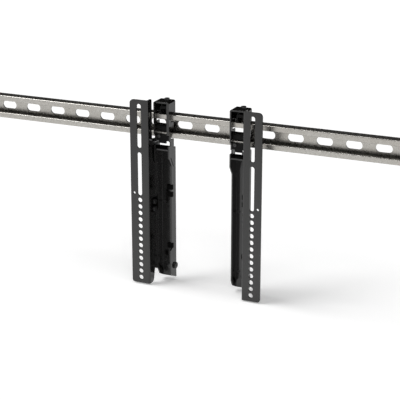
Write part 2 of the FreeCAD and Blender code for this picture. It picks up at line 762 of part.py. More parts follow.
def lower_jaw(name, centre):
    body = new_body(name, x=centre)
    leg_back = jaw_front - d.plate
    section = new_sketch(body, "YZ_Plane")
    side_outline(section, [
        (jaw_front, jaw_top),
        (leg_back, jaw_top),
        (leg_back, jaw_bottom + d.plate),
        (jaw_front - d.jaw_deep, jaw_bottom + d.plate),
        (jaw_front - d.jaw_deep, jaw_bottom),
        (jaw_front, jaw_bottom),
    ])
    pad(body, section, inside * 2, both=True)
    smooth(body, d.bend - d.inner_bend, {"y": -jaw_front, "z": jaw_bottom})
    smooth(body, d.inner_bend, {"y": -leg_back, "z": jaw_bottom + d.plate})
    lip = new_sketch(body, "XZ_Plane", leg_back)
    lip_sides = box_corners(-d.jaw_lip_half, d.jaw_lip_half, jaw_bottom - d.jaw_lip, jaw_bottom + d.plate)
    outline(lip, lip_sides)
    pad(body, lip, d.plate)
    bore = new_sketch(body, "XZ_Plane", jaw_front)
    circle(bore, d.clamp_offset, jaw_top - d.clamp_drop, d.clamp_radius + d.seat_fit)
    pocket(body, bore, through_sheet)
    return body


def clamp_screw(name, centre):
    body = new_body(name, centre + d.clamp_offset, jaw_front, jaw_top - d.clamp_drop, TO_ROOM)
    tip = d.rail_depth + d.body_gap - jaw_front
    revolve(body, [
        (ZERO, d.clamp_head_long),
        (d.clamp_head, d.clamp_head_long),
        (d.clamp_head, ZERO),
        (d.clamp_radius, ZERO),
        (d.clamp_radius, tip),
        (ZERO, tip),
    ])
    socket = new_sketch(body, "XY_Plane", d.clamp_head_long)
    hexagon(socket, ZERO, ZERO, d.clamp_socket)
    pocket(body, socket, d.clamp_head_long / 2)
    smooth(body, d.head_edge, {"z": d.clamp_head_long})
    return body


# Pieces at the foot and on the channel


def lever_rivet(name, centre):
    body = new_body(name, centre + d.lever_offset, web_front, lever_height, TO_ROOM)
    seat = lever_back + d.plate + d.body_gap - web_front
    revolve(body, [
        (ZERO, seat + d.rivet_head_long),
        (d.rivet_head, seat + d.rivet_head_long),
        (d.rivet_head, seat),
        (d.rivet_radius, seat),
        (d.rivet_radius, d.rivet_collar_long),
        (d.rivet_collar, d.rivet_collar_long),
        (d.rivet_collar, ZERO),
        (d.rivet_radius, ZERO),
        (d.rivet_radius, -d.plate),
        (ZERO, -d.plate),
    ])
    smooth(body, d.rivet_head_long / 2, {"z": seat + d.rivet_head_long})
    return body


def latch_lever(name, centre):
    body = new_body(name, centre + d.lever_offset, lever_back, lever_height, LEVER_TURN)
    bar = new_sketch(body, "XZ_Plane")
    length = d.lever_reach + d.lever_width
    obround(bar, ZERO, -d.lever_reach / 2, length, d.lever_width, upright=True)
    circle(bar, ZERO, ZERO, d.rivet_radius + d.running_fit)
    pad(body, bar, d.plate)
    return body


def side_bolt(name, centre, head_long):
    body = new_body(name, centre + half_channel, d.bolt_depth, bolt_height, ALONG_X)
    revolve(body, [
        (ZERO, head_long),
        (d.bolt_head, head_long),
        (d.bolt_head, ZERO),
        (d.bolt_radius, ZERO),
        (d.bolt_radius, -(d.plate + d.nut_tall)),
        (ZERO, -(d.plate + d.nut_tall)),
    ])
    smooth(body, head_long / 2, {"z": head_long})
    return body


def side_nut(name, centre):
    body = new_body(name, centre + inside, d.bolt_depth, bolt_height)
    face = new_sketch(body, "YZ_Plane")
    nut_outline(face)
    circle(face, ZERO, ZERO, d.bolt_radius + d.seat_fit)
    pad(body, face, d.nut_tall, reverse=True)
    return body


def nut_outline(face):
    """The nut's flats face the web, its corners point up and down."""
    corner = d.nut_across / math.sqrt(3)
    flat = d.nut_across / 2
    half = corner / 2
    steps = ((ZERO, corner), (-flat, half), (-flat, -half), (ZERO, -corner), (flat, -half), (flat, half))
    outline(face, steps)


def bumper(name, centre, height):
    body = new_body(name, x=centre, z=height)
    edge = edge_front
    nose = edge + d.bumper_nose
    outer = half_channel + d.bumper_outer
    inner = inside - d.bumper_inner
    plan = new_sketch(body, "XY_Plane")
    outline(plan, [
        (inner, -nose),
        (outer, -nose),
        (outer, d.bumper_outer_long - edge),
        (half_channel, d.bumper_outer_long - edge),
        (half_channel, -edge),
        (inside, -edge),
        (inside, d.bumper_inner_long - edge),
        (inner, d.bumper_inner_long - edge),
    ])
    pad(body, plan, d.bumper_tall, both=True)
    smooth(body, d.bumper_round, {"x": inner, "y": -nose}, {"x": outer, "y": -nose})
    return body


def upper_plug(name, centre):
    body = new_body(name, centre + d.upper_plug_offset, web_front, upper_plug_height)
    stem = new_sketch(body, "XZ_Plane")
    rim = 2 * d.plug_rim
    obround(stem, ZERO, ZERO, d.upper_plug_long - rim, d.upper_plug_wide - rim)
    pad(body, stem, d.plate, reverse=True)
    head = new_sketch(body, "XZ_Plane")
    obround(head, ZERO, ZERO, d.upper_plug_long, d.upper_plug_wide)
    pad(body, head, d.plug_head)
    return body


def lower_plug(name, centre):
    body = new_body(name, centre + d.lower_plug_offset, web_front, lower_plug_height)
    stem = new_sketch(body, "XZ_Plane")
    circle(stem, ZERO, ZERO, d.lower_plug_wide / 2 - d.plug_rim)
    pad(body, stem, d.plate, reverse=True)
    head = new_sketch(body, "XZ_Plane")
    circle(head, ZERO, ZERO, d.lower_plug_wide / 2)
    pad(body, head, d.plug_head)
    return body


# Display bracket and the pieces that hang it


def display_bracket(name, centre, hand):
    body = new_body(name, x=centre)
    outer_edge = fold + d.display_width
    face = new_sketch(body, "XZ_Plane", display_back)
    outline(face, box_corners(hand * fold, hand * outer_edge, display_bottom, display_top))
    pad(body, face, d.plate)

    flange = new_sketch(body, "YZ_Plane", hand * fold)
    side_outline(flange, [
        (display_front, display_top),
        (ear_back, display_top),
        (ear_back, stud_height + d.ear_drop),
        (deep_back, deep_top),
        (deep_back, deep_bottom),
        (heel_back, heel_top),
        (toe_back, toe_top),
        (toe_back, display_bottom),
        (display_front, display_bottom),
    ])
    pad(body, flange, d.plate, reverse=hand < 0)
    smooth(body, d.bend, {"x": hand * fold, "y": -display_front})
    inner_fold = {"x": hand * (fold + d.plate), "y": -display_back}
    smooth(body, d.inner_bend, inner_fold)
    smooth(body, d.display_top_round, {"x": hand * outer_edge, "z": display_top})
    smooth(body, d.display_low_round, {"x": hand * outer_edge, "z": display_bottom})
    smooth(
        body,
        d.flange_round,
        {"y": -ear_back, "z": display_top},
        {"y": -deep_back, "z": deep_top},
        {"y": -deep_back, "z": deep_bottom},
        {"y": -heel_back, "z": heel_top},
        {"y": -toe_back, "z": toe_top},
    )
    smooth(body, d.toe_round, {"y": -toe_back, "z": display_bottom})

    stop_back = (edge_front if hand < 0 else foot_front) + d.body_gap
    stop = new_sketch(body, "XZ_Plane", stop_back)
    root = hand * (fold + d.plate / 2)
    tip = hand * (fold - d.stop_long)
    outline(stop, box_corners(root, tip, stop_bottom, stop_top))
    pad(body, stop, d.plate)
    smooth(body, d.stop_round, {"x": tip, "z": stop_top}, {"x": tip, "z": stop_bottom})

    column = hand * (fold + d.column)
    slots = new_sketch(body, "XZ_Plane", display_front)
    for middle in (upper_slot, lower_slot):
        obround(slots, column, middle, screen_slot_long, d.screen_slot_wide, upright=True)
    circle(slots, hand * (fold + d.side_hole_across), side_hole_height, d.side_hole)
    pocket(body, slots, through_sheet)

    hole = new_sketch(body, "XZ_Plane", display_front)
    circle(hole, column, highest_hole, d.screen_hole)
    cut = pocket(body, hole, through_sheet)
    pitch, count = d.screen_hole_pitch, d.screen_hole_count
    repeat(body, cut, hole, "V_Axis", pitch, count, reverse=True)

    bores = new_sketch(body, "YZ_Plane", hand * fold)
    circle(bores, -stud_depth, stud_height, d.stud_radius + d.seat_fit)
    for height in (pad_screw_high, pad_screw_low):
        circle(bores, -pad_screw_depth, height, d.pad_screw_radius + d.seat_fit)
    pocket(body, bores, through_sheet, reverse=hand > 0)
    return body


def hanger_stud(name, centre, hand):
    turn = AGAINST_X if hand > 0 else ALONG_X
    body = new_body(name, centre + hand * fold, stud_depth, stud_height, turn)
    collar = d.stud_collar_long
    revolve(body, [
        (ZERO, d.stud_long),
        (d.stud_radius, d.stud_long),
        (d.stud_radius, collar),
        (d.stud_collar, collar),
        (d.stud_collar, ZERO),
        (d.stud_radius, ZERO),
        (d.stud_radius, -d.plate),
        (ZERO, -d.plate),
    ])
    smooth(body, d.head_edge, {"z": d.stud_long})
    return body


def flange_pad(name, centre, hand):
    body = new_body(name, x=centre)
    face = new_sketch(body, "YZ_Plane", hand * fold)
    side_outline(face, box_corners(pad_back, pad_front, pad_bottom, pad_top))
    for height in (pad_screw_high, pad_screw_low):
        circle(face, -pad_screw_depth, height, d.pad_screw_radius + d.seat_fit)
    pad(body, face, pad_thick, reverse=hand > 0)
    corners = [
        {"y": -depth, "z": height}
        for depth in (pad_back, pad_front)
        for height in (pad_bottom, pad_top)
    ]
    smooth(body, d.pad_round, *corners)
    return body


def flange_screw(name, centre, hand, height):
    turn = AGAINST_X if hand > 0 else ALONG_X
    face = fold - pad_thick
    body = new_body(name, centre + hand * face, pad_screw_depth, height, turn)
    shank = -(pad_thick + d.plate)
    revolve(body, [
        (ZERO, d.pad_screw_head_long),
        (d.pad_screw_head, d.pad_screw_head_long),
        (d.pad_screw_head, ZERO),
        (d.pad_screw_radius, ZERO),
        (d.pad_screw_radius, shank),
        (ZERO, shank),
    ])
    socket = new_sketch(body, "XY_Plane", d.pad_screw_head_long)
    hexagon(socket, ZERO, ZERO, d.pad_screw_socket)
    pocket(body, socket, d.socket_deep)
    smooth(body, d.head_edge, {"z": d.pad_screw_head_long})
    return body


# Assembly: one rail, the same hanger twice, the display brackets mirrored

nodes = [strut_rail()]
for side, centre, hand in (("left", d.left_centre, -1), ("right", d.right_centre, 1)):
    # On the right the bracket's flange passes over the bolt, so the bolt's head is low there
    bolt_head_long = d.bolt_head_long if hand < 0 else d.side_gap - d.body_gap
    nodes += [
        hook_channel(f"{side}_hook_channel", centre),
        saddle_block(f"{side}_saddle_block", centre),
        height_screw(f"{side}_height_screw", centre),
        lip_hook(f"{side}_lip_hook", centre),
        lower_jaw(f"{side}_lower_jaw", centre),
        clamp_screw(f"{side}_clamp_screw", centre),
        lever_rivet(f"{side}_lever_rivet", centre),
        latch_lever(f"{side}_latch_lever", centre),
        side_bolt(f"{side}_side_bolt", centre, bolt_head_long),
        side_nut(f"{side}_side_nut", centre),
        bumper(f"{side}_upper_bumper", centre, upper_bumper_height),
        bumper(f"{side}_middle_bumper", centre, middle_bumper_height),
        bumper(f"{side}_lower_bumper", centre, lower_bumper_height),
        upper_plug(f"{side}_upper_plug", centre),
        lower_plug(f"{side}_lower_plug", centre),
        display_bracket(f"{side}_display_bracket", centre, hand),
        hanger_stud(f"{side}_hanger_stud", centre, hand),
        flange_pad(f"{side}_flange_pad", centre, hand),
        flange_screw(f"{side}_upper_flange_screw", centre, hand, pad_screw_high),
        flange_screw(f"{side}_lower_flange_screw", centre, hand, pad_screw_low),
    ]
doc.recompute()

# Check every object, then write one file for each piece

for thing in doc.Objects:
    faults = [state for state in thing.State if state in ("Invalid", "Error")]
    if faults:
        raise ValueError(f"{thing.Label}: {faults}")

for node in nodes:
    shape = node.Shape
    if shape.isNull() or not shape.isValid() or len(shape.Solids) != 1:
        raise ValueError(f"{node.Label}: not one valid solid")
    shape.exportStep(f"parts/{node.Label}.step")
    box = shape.BoundBox
    spans = (box.XMin, box.XMax, box.YMin, box.YMax, box.ZMin, box.ZMax)
    print(node.Label, [round(value, 2) for value in spans], round(shape.Volume, 1))
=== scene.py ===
# %% [markdown]
# # Menu board mount
# A strut rail is screwed to the wall. Two hangers hook over it, and each carries an upright
# display bracket with a column of screw holes. The screens of a menu board bolt to those brackets.
#
# The CAD model comes in first, as a fixed frame. It already has every piece at its true size, so
# Blender's work is the finishes, the small worked details, the light and the camera.

# %% Load the frame
import json
import math

import bmesh
import bpy
from mathutils import Euler, Matrix, Vector

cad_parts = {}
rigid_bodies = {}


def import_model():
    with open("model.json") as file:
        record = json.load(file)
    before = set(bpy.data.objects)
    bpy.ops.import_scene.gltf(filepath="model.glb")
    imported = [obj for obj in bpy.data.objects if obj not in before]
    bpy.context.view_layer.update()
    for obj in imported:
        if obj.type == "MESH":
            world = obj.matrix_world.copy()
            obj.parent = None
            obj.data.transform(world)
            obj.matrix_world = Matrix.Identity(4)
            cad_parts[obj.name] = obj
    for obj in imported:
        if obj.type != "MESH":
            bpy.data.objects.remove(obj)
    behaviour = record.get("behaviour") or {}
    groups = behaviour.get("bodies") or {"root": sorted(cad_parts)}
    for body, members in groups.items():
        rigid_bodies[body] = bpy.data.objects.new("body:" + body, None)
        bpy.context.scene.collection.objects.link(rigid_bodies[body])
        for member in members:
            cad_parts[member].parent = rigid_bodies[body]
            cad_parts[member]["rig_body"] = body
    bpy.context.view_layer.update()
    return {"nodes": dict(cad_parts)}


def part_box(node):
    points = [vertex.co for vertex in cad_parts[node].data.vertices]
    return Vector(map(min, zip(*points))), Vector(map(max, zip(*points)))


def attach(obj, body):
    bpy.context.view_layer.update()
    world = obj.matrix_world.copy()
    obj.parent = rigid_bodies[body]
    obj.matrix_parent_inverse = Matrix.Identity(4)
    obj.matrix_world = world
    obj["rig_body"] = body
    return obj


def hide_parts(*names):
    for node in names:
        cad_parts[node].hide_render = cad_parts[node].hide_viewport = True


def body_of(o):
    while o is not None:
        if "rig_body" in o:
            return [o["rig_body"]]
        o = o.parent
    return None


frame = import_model()
nodes = frame["nodes"]

MM = 0.001
MICRON = 0.001 * MM
WELD = 2 * MICRON
SIDES = ("left", "right")

# %% [markdown]
# ## Helpers for node trees
# Finishes are shader trees and repeated shapes are Geometry Nodes trees. Writing each node by
# hand takes many lines, so one class adds a node, sets it up and joins its inputs in one call.

# %% Node tree helper
class Tree:
    """A node tree that is built one call at a time."""

    def __init__(self, tree):
        self.tree = tree

    def join(self, value, socket):
        """Links one socket to another, or writes a plain value into it."""
        if isinstance(value, bpy.types.NodeSocket):
            self.tree.links.new(value, socket)
        else:
            socket.default_value = value

    def add(self, kind, inputs=(), **settings):
        """A new node, its inputs given by name or number and its settings by keyword."""
        node = self.tree.nodes.new(kind)
        for name, value in settings.items():
            setattr(node, name, value)
        for socket, value in dict(inputs).items():
            self.join(value, node.inputs[socket])
        return node

    def math(self, operation, first, second=0.0):
        return self.add("ShaderNodeMath", {0: first, 1: second}, operation=operation).outputs[0]

    def between(self, value, low, high, out_low=0.0, out_high=1.0):
        """Stretches the range low...high of a value to out_low...out_high."""
        fields = {"Value": value, "From Min": low, "From Max": high}
        fields.update({"To Min": out_low, "To Max": out_high})
        return self.add("ShaderNodeMapRange", fields).outputs[0]


# %% [markdown]
# ## A helper for finishes
# Every finish is built around one Principled BSDF. Patterns start from Object coordinates. All
# pieces share one origin and are measured in metres, so one pattern has the same scale on every
# piece, and it stays on the piece when a joint moves.

# %% Finish helper
EDGE_STARTS, EDGE_FULL = 0.02, 0.25


class Finish(Tree):
    """The shader tree of one finish."""

    def __init__(self, name):
        self.material = bpy.data.materials.new(name)
        self.material.use_nodes = True
        super().__init__(self.material.node_tree)
        self.shader = self.tree.nodes["Principled BSDF"]
        self.place = self.add("ShaderNodeTexCoord").outputs["Object"]

    def stretched(self, x, y, z):
        """The place on the piece, squeezed so that a pattern runs long along an axis."""
        return self.add("ShaderNodeMapping", {"Vector": self.place, "Scale": (x, y, z)}).outputs[0]

    def noise(self, scale, detail, place=None):
        fields = {"Vector": place or self.place, "Scale": scale, "Detail": detail}
        return self.add("ShaderNodeTexNoise", fields).outputs["Fac"]

    def mixed(self, amount, first, second):
        """A colour that goes from the first to the second as the amount goes from 0 to 1."""
        inputs = {"Factor": amount, 6: first, 7: second}
        return self.add("ShaderNodeMix", inputs, data_type="RGBA").outputs[2]

    def rounded(self, radius):
        """A normal that turns softly over each edge, as a sprayed or worn edge does."""
        return self.add("ShaderNodeBevel", {"Radius": radius}, samples=4).outputs[0]

    def edges(self, reach):
        """0 on a flat face, 1 along the edges: a rounded normal set against the true one."""
        normals = {0: self.rounded(reach), 1: self.add("ShaderNodeNewGeometry").outputs["Normal"]}
        alike = self.add("ShaderNodeVectorMath", normals, operation="DOT_PRODUCT").outputs["Value"]
        return self.between(self.math("SUBTRACT", 1.0, alike), EDGE_STARTS, EDGE_FULL)

    def relief(self, height, depth, below=None):
        """A bump as deep as the depth where the height goes from 0 to 1."""
        fields = {"Height": height, "Distance": depth, "Strength": 1.0}
        if below is not None:
            fields["Normal"] = below
        return self.add("ShaderNodeBump", fields).outputs[0]

    def surface(self, **inputs):
        """Joins the finished patterns to the shader and gives the material."""
        for name, value in inputs.items():
            self.join(value, self.shader.inputs[name.replace("_", " ")])
        print("finish:", self.material.name, "with", len(self.tree.nodes), "nodes")
        return self.material


def grey(level, warmth=0.0):
    """A linear grey, with a little more red than blue where warmth is above 0."""
    return (level * (1 + warmth), level, level * (1 - warmth), 1.0)


# %% [markdown]
# ## Black powder coat
# The brackets and hook channels are folded steel, sprayed with charged powder and baked. The
# colour is almost pure black: what the eye takes for grey is the satin skin, which mirrors the
# bright floor. So the base stays near black, and the gloss carries the look. The skin has a fine
# grain that breaks the mirror image up, and it thins and polishes on outside corners.

# %% Black powder coat
def make_powder_coat():
    coat = Finish("black_powder_coat_satin")
    cloud = coat.noise(38.0, 3.0)
    grain = coat.noise(1100.0, 3.0)
    dust = coat.noise(4200.0, 1.0)
    patches = coat.between(coat.noise(160.0, 4.0), 0.42, 0.66)
    rubbed = coat.math("MULTIPLY", coat.edges(0.7 * MM), patches)
    base = coat.mixed(coat.between(grain, 0.30, 0.70), grey(0.0035, 0.06), grey(0.0085, 0.06))
    base = coat.mixed(coat.between(dust, 0.62, 0.74, 0.0, 0.4), base, grey(0.020))
    base = coat.mixed(coat.math("MULTIPLY", rubbed, 0.40), base, grey(0.10))
    gloss = coat.between(cloud, 0.3, 0.7, 0.13, 0.17)
    gloss = coat.math("ADD", gloss, coat.between(grain, 0.3, 0.7, -0.02, 0.02))
    normal = coat.relief(grain, 10 * MICRON, coat.rounded(0.3 * MM))
    normal = coat.relief(dust, 2 * MICRON, normal)
    return coat.surface(Base_Color=base, Roughness=gloss, Normal=normal, Specular_IOR_Level=0.58)


powder_coat = make_powder_coat()

# %% [markdown]
# ## Galvanised strut steel
# The rail is rolled from zinc-coated strip. The zinc freezes in flat crystals, called spangle,
# each with its own shade, and the rolling leaves fine drawn lines along the rail. Voronoi cells
# stand for the crystals and a noise stretched along X for the lines. The zinc is a bare metal
# under a thin dull skin, so it is nearly all metallic, and its shade is mostly what it mirrors.

# %% Galvanised steel
WORN_STEEL = (0.78, 0.77, 0.75, 1)


def make_galvanised_steel():
    dark_crystal, light_crystal = (0.37, 0.356, 0.33, 1), (0.48, 0.467, 0.44, 1)
    stained, pitted = (0.38, 0.35, 0.31, 1), (0.24, 0.23, 0.21, 1)
    zinc = Finish("galvanised_steel_rolled")
    crystals = zinc.add("ShaderNodeTexVoronoi", {"Vector": zinc.place, "Scale": 380.0})
    shade = zinc.add("ShaderNodeSeparateColor", {"Color": crystals.outputs["Color"]}).outputs[0]
    drawn = zinc.noise(1.0, 4.0, zinc.stretched(22.0, 1500.0, 1500.0))
    stain = zinc.noise(26.0, 5.0, zinc.stretched(0.35, 1.0, 1.0))
    pit = zinc.noise(900.0, 2.0)
    tone = zinc.math("ADD", zinc.math("MULTIPLY", shade, 0.40), zinc.math("MULTIPLY", drawn, 0.60))
    base = zinc.mixed(zinc.between(tone, 0.25, 0.75), dark_crystal, light_crystal)
    base = zinc.mixed(zinc.between(stain, 0.50, 0.72, 0.0, 0.40), base, stained)
    base = zinc.mixed(zinc.between(pit, 0.62, 0.74, 0.0, 0.5), base, pitted)
    base = zinc.mixed(zinc.math("MULTIPLY", zinc.edges(0.8 * MM), 0.3), base, WORN_STEEL)
    gloss = zinc.between(zinc.math("ADD", shade, drawn), 0.5, 1.5, 0.24, 0.33)
    normal = zinc.relief(drawn, 8 * MICRON, zinc.rounded(0.4 * MM))
    normal = zinc.relief(shade, 1.5 * MICRON, normal)
    return zinc.surface(Base_Color=base, Metallic=0.94, Roughness=gloss, Normal=normal)


galvanised = make_galvanised_steel()

# %% [markdown]
# ## Zinc plate
# The nuts of the side bolts are zinc plated: smooth, slightly yellow-grey, and clouded by
# handling. The plate has no crystals to see at this size, so one soft noise gives both the cloud
# and the duller patches, and the corners are mixed towards bare steel.

# %% Zinc plate
def make_zinc_plate():
    plate = Finish("zinc_plate_clouded")
    cloud = plate.noise(120.0, 5.0)
    grain = plate.noise(2600.0, 2.0)
    base = plate.mixed(cloud, (0.34, 0.33, 0.29, 1), (0.58, 0.57, 0.53, 1))
    base = plate.mixed(plate.math("MULTIPLY", plate.edges(0.6 * MM), 0.6), base, WORN_STEEL)
    gloss = plate.between(cloud, 0.3, 0.7, 0.24, 0.38)
    normal = plate.relief(grain, 6 * MICRON, plate.rounded(0.3 * MM))
    return plate.surface(Base_Color=base, Metallic=1.0, Roughness=gloss, Normal=normal)


zinc_plate = make_zinc_plate()

# %% [markdown]
# ## Black oxide
# Screws, bolts and the small turned parts are blackened in a hot salt bath. The skin is only a
# micron thick and keeps an oily gloss, and it rubs through on the corners of a head. So the
# colour is nearly black, the gloss is clouded, and the edges show steel in patches.

# %% Black oxide steel
def make_black_oxide():
    oxide = Finish("black_oxide_steel")
    cloud = oxide.noise(240.0, 4.0)
    turned = oxide.noise(3000.0, 2.0)
    rubbed = oxide.math("MULTIPLY", oxide.edges(0.4 * MM), oxide.between(cloud, 0.40, 0.62))
    base = oxide.mixed(cloud, (0.008, 0.008, 0.009, 1), (0.018, 0.0175, 0.017, 1))
    base = oxide.mixed(oxide.math("MULTIPLY", rubbed, 0.7), base, (0.20, 0.195, 0.19, 1))
    gloss = oxide.between(cloud, 0.3, 0.7, 0.24, 0.36)
    normal = oxide.relief(turned, 6 * MICRON, oxide.rounded(0.3 * MM))
    return oxide.surface(Base_Color=base, Roughness=gloss, Normal=normal, Specular_IOR_Level=0.6)


black_oxide = make_black_oxide()

# %% [markdown]
# ## Black phosphate
# The clamp's inner blocks, which grip the rail, are phosphated and oiled. Phosphate grows as a
# felt of tiny crystals that takes the light in, so these blocks stay darker than the coat around
# them although both are black. A high roughness and a low specular level give that.

# %% Phosphated clamp blocks
def make_phosphate():
    skin = Finish("black_phosphate_oiled")
    crystals = skin.noise(1900.0, 3.0)
    cloud = skin.noise(150.0, 3.0)
    rubbed = skin.math("MULTIPLY", skin.edges(0.5 * MM), skin.between(cloud, 0.45, 0.65))
    base = skin.mixed(crystals, grey(0.0025), grey(0.0065))
    base = skin.mixed(skin.math("MULTIPLY", rubbed, 0.5), base, grey(0.06))
    gloss = skin.between(crystals, 0.3, 0.7, 0.40, 0.56)
    normal = skin.relief(crystals, 12 * MICRON, skin.rounded(0.4 * MM))
    return skin.surface(Base_Color=base, Roughness=gloss, Normal=normal, Specular_IOR_Level=0.12)


phosphate = make_phosphate()

# %% [markdown]
# ## Rubber and plastic
# The bumpers and the flange pads are black rubber, matt, with a faint bloom where the wax comes
# to the surface. The plugs are moulded plastic with a fine eroded texture from the mould. Both
# are one shader each, with the grain as relief.

# %% Rubber and plastic
def make_black_rubber():
    rubber = Finish("black_rubber_bloomed")
    bloom = rubber.noise(90.0, 4.0)
    skin = rubber.noise(2200.0, 3.0)
    base = rubber.mixed(rubber.between(bloom, 0.35, 0.75), grey(0.0012), grey(0.0040, 0.04))
    gloss = rubber.between(skin, 0.3, 0.7, 0.66, 0.84)
    normal = rubber.relief(skin, 20 * MICRON)
    return rubber.surface(Base_Color=base, Roughness=gloss, Normal=normal, Specular_IOR_Level=0.06)


def make_black_plastic():
    plastic = Finish("black_moulded_plastic")
    eroded = plastic.noise(3400.0, 2.0)
    cloud = plastic.noise(60.0, 3.0)
    base = plastic.mixed(cloud, grey(0.008), grey(0.014))
    gloss = plastic.between(cloud, 0.3, 0.7, 0.34, 0.48)
    normal = plastic.relief(eroded, 12 * MICRON)
    return plastic.surface(Base_Color=base, Roughness=gloss, Normal=normal)


black_rubber = make_black_rubber()
black_plastic = make_black_plastic()

# %% [markdown]
# ## Give each CAD piece its finish
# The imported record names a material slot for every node. Each slot gets one of the finishes, and
# the node's shape is left as it is. The clamp's inner blocks have the slot names of the powder
# coat and the black oxide, so they get their phosphate by their own names.

# %% Dress the CAD nodes
FINISHES = {
    "galvanised_steel": galvanised,
    "black_powder_coat": powder_coat,
    "black_oxide": black_oxide,
    "zinc_plate": zinc_plate,
    "black_rubber": black_rubber,
    "black_plastic": black_plastic,
}
CLAMP_BLOCKS = ("saddle_block", "lip_hook", "lower_jaw")


def dress_nodes():
    """Fills the slot of every node, and gives the slot's name for each."""
    found = {}
    for name, node in nodes.items():
        for slot in node.material_slots:
            found[name] = slot.material.name.split(".")[0]
            slot.material = FINISHES[found[name]]
    return found


slot_names = dress_nodes()
for side in SIDES:
    for block in CLAMP_BLOCKS:
        for slot in nodes[f"{side}_{block}"].material_slots:
            slot.material = phosphate
print("dressed", len(slot_names), "nodes")

# %% [markdown]
# ## Recipes: shapes that follow a rule
# A rolled rail, a thread and a knurled head all repeat one step many times. Geometry Nodes say
# the step once and take the sizes as named inputs, so a recipe can be read like a drawing. The
# Size class lets the tree be written as plain sums: each + or * becomes a Math node.

# %% Recipe helper
class Size:
    """A number inside a recipe. Sums and products of sizes become Math nodes."""

    def __init__(self, recipe, socket):
        self.recipe = recipe
        self.socket = socket

    def work(self, operation, first, second=0.0):
        values = [v.socket if isinstance(v, Size) else float(v) for v in (first, second)]
        return Size(self.recipe, self.recipe.math(operation, *values))

    def __add__(self, other):
        return self.work("ADD", self, other)

    def __sub__(self, other):
        return self.work("SUBTRACT", self, other)

    def __rsub__(self, other):
        return self.work("SUBTRACT", other, self)

    def __neg__(self):
        return self.work("SUBTRACT", 0.0, self)

    def __mul__(self, other):
        return self.work("MULTIPLY", self, other)

    def __truediv__(self, other):
        return self.work("DIVIDE", self, other)

    def __rtruediv__(self, other):
        return self.work("DIVIDE", other, self)

    def __mod__(self, other):
        return self.work("MODULO", self, other)

    def floor(self):
        return self.work("FLOOR", self)

    def sine(self):
        return self.work("SINE", self)

    def cosine(self):
        return self.work("COSINE", self)

    def at_most(self, other):
        return self.work("MINIMUM", self, other)

    def at_least(self, other):
        return self.work("MAXIMUM", self, other)

    def to_and_fro(self, top):
        """Rises to the top, falls back to 0, and so on."""
        return self.work("PINGPONG", self, top)

    def is_below(self, other):
        """1 where this size is below the other, and 0 elsewhere."""
        return self.work("LESS_THAN", self, other)


def bare(value):
    """A Size as its socket, and anything else as it is."""
    return value.socket if isinstance(value, Size) else value


